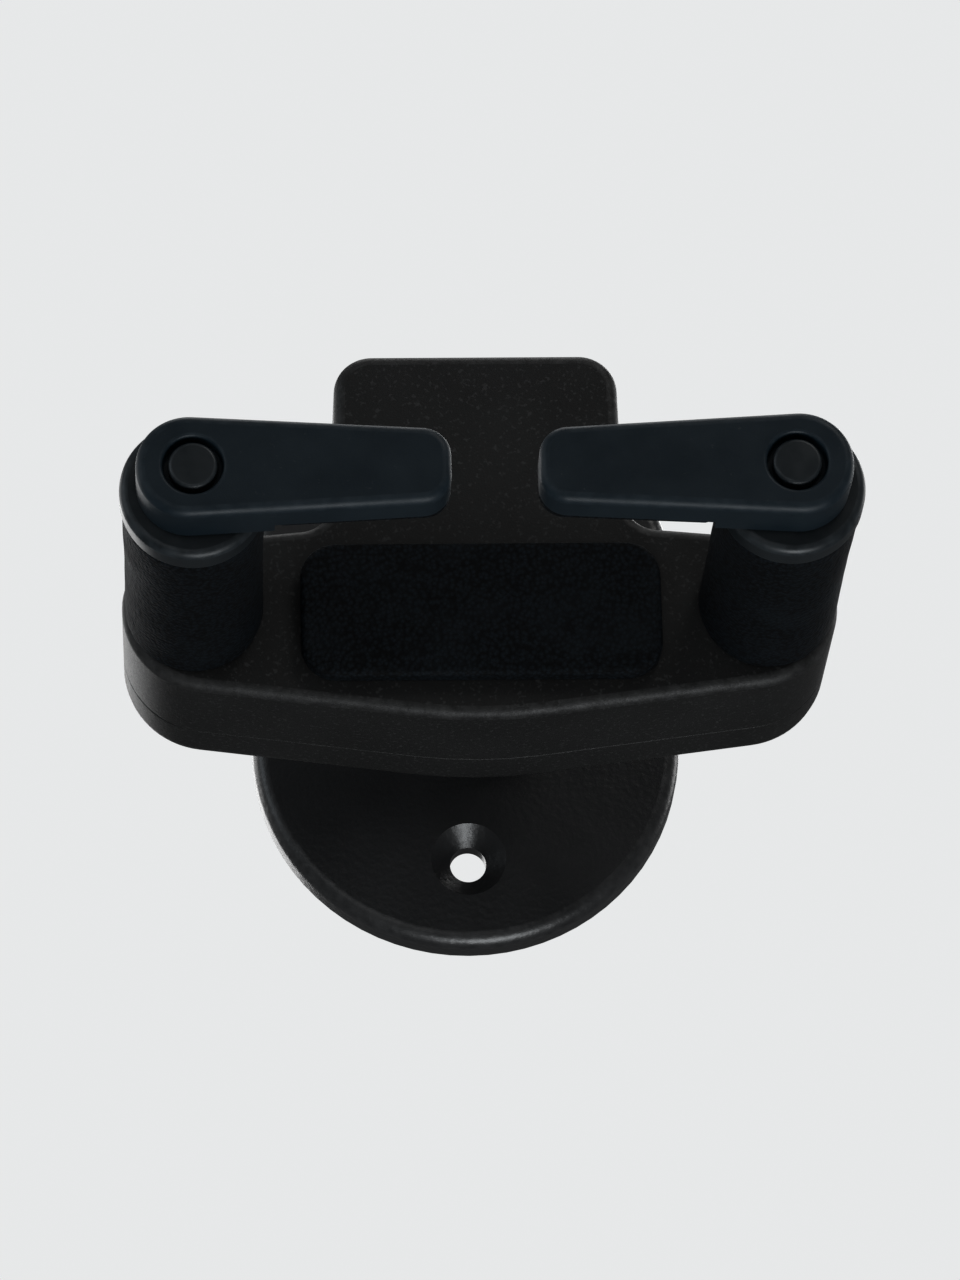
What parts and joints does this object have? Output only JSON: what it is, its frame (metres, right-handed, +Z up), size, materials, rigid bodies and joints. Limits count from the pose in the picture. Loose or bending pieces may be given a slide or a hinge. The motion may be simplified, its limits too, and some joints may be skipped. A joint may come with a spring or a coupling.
{
  "type": "wall guitar hanger",
  "caption": "Wall hanger with a rounded wall plate, a swivelling yoke with two foam-sleeved arms, and sprung gate fingers that a guitar's weight closes in front of its neck.",
  "frame": {"origin": "middle of the wall plate's back face, on the wall plane", "axes": "+Y into the wall, +Z up, +X to the right as seen from the front; stored loaded, with both gates closed"},
  "size_m": [0.1014, 0.118, 0.09],
  "materials": {
    "plate_paint": "satin black powder coat",
    "housing_plastic": "fine moulded texture",
    "sleeve_foam": "matte closed-cell foam",
    "gate_rubber": "soft-touch moulded rubber",
    "black_screw": "black oxide",
    "steel": "zinc plated",
    "bronze": "sintered bronze",
    "nylon": "natural acetal"
  },
  "bodies": {
    "wall_bracket": {"wall_plate": "plate_paint", "stem": "plate_paint", "stem_screw_1": "steel", "stem_screw_2": "steel", "stem_screw_3": "steel", "swivel_stop_pin": "steel", "thrust_washer": "bronze", "swivel_bolt": "steel"},
    "carrier": {"guide_block": "nylon", "bolt_washer": "steel", "lift_spring_left": "steel", "lift_spring_right": "steel"},
    "yoke": {"front_shell": "housing_plastic", "back_cover": "housing_plastic", "cover_screw_top": "black_screw", "cover_screw_bottom": "black_screw", "neck_pad": "sleeve_foam", "guide_rod_left": "steel", "idler_axle_left": "steel", "arm_tube_left": "steel", "arm_sleeve_left": "sleeve_foam", "arm_collar_left": "housing_plastic", "front_bush_left": "bronze", "rear_bush_left": "bronze", "guide_rod_right": "steel", "idler_axle_right": "steel", "arm_tube_right": "steel", "arm_sleeve_right": "sleeve_foam", "arm_collar_right": "housing_plastic", "front_bush_right": "bronze", "rear_bush_right": "bronze"},
    "gate_left": {"gate_finger_left": "gate_rubber", "gate_pad_left": "sleeve_foam", "gate_screw_left": "black_screw", "gate_cap_left": "housing_plastic", "gate_shaft_left": "steel", "pinion_left": "nylon", "shaft_ring_left": "steel", "end_washer_left": "steel", "end_screw_left": "black_screw"},
    "idler_left": {"idler_gear_left": "nylon"},
    "gate_right": {"gate_finger_right": "gate_rubber", "gate_pad_right": "sleeve_foam", "gate_screw_right": "black_screw", "gate_cap_right": "housing_plastic", "gate_shaft_right": "steel", "pinion_right": "nylon", "shaft_ring_right": "steel", "end_washer_right": "steel", "end_screw_right": "black_screw"},
    "idler_right": {"idler_gear_right": "nylon"}
  },
  "joints": [
    {"name": "swivel", "type": "hinge", "parent": "wall_bracket", "child": "carrier", "pos_m": [0, -0.05, 0], "axis": [0, 1, 0], "range_deg": [-15, 15]},
    {"name": "yoke_lift", "type": "slide", "parent": "carrier", "child": "yoke", "axis": [0, 0, 1], "range_m": [0, 0.00785], "stiffness_N_per_m": 250, "springref_m": 0.022, "deforming": ["lift_spring_left", "lift_spring_right"]},
    {"name": "gate_left_turn", "type": "hinge", "parent": "yoke", "child": "gate_left", "pos_m": [-0.0405, -0.1, -0.014], "axis": [0, -1, 0], "range_deg": [0, 90]},
    {"name": "idler_left_turn", "type": "hinge", "parent": "yoke", "child": "idler_left", "pos_m": [-0.0275, -0.052, -0.014], "axis": [0, 1, 0], "range_deg": [0, 56.25]},
    {"name": "gate_right_turn", "type": "hinge", "parent": "yoke", "child": "gate_right", "pos_m": [0.0405, -0.1, -0.014], "axis": [0, 1, 0], "range_deg": [0, 90]},
    {"name": "idler_right_turn", "type": "hinge", "parent": "yoke", "child": "idler_right", "pos_m": [0.0275, -0.052, -0.014], "axis": [0, -1, 0], "range_deg": [0, 56.25]}
  ],
  "couplings": [
    {"joint": "gate_left_turn", "follows": "yoke_lift", "rad_per_m": 200},
    {"joint": "idler_left_turn", "follows": "yoke_lift", "rad_per_m": 125},
    {"joint": "gate_right_turn", "follows": "yoke_lift", "rad_per_m": 200},
    {"joint": "idler_right_turn", "follows": "yoke_lift", "rad_per_m": 125}
  ]
}
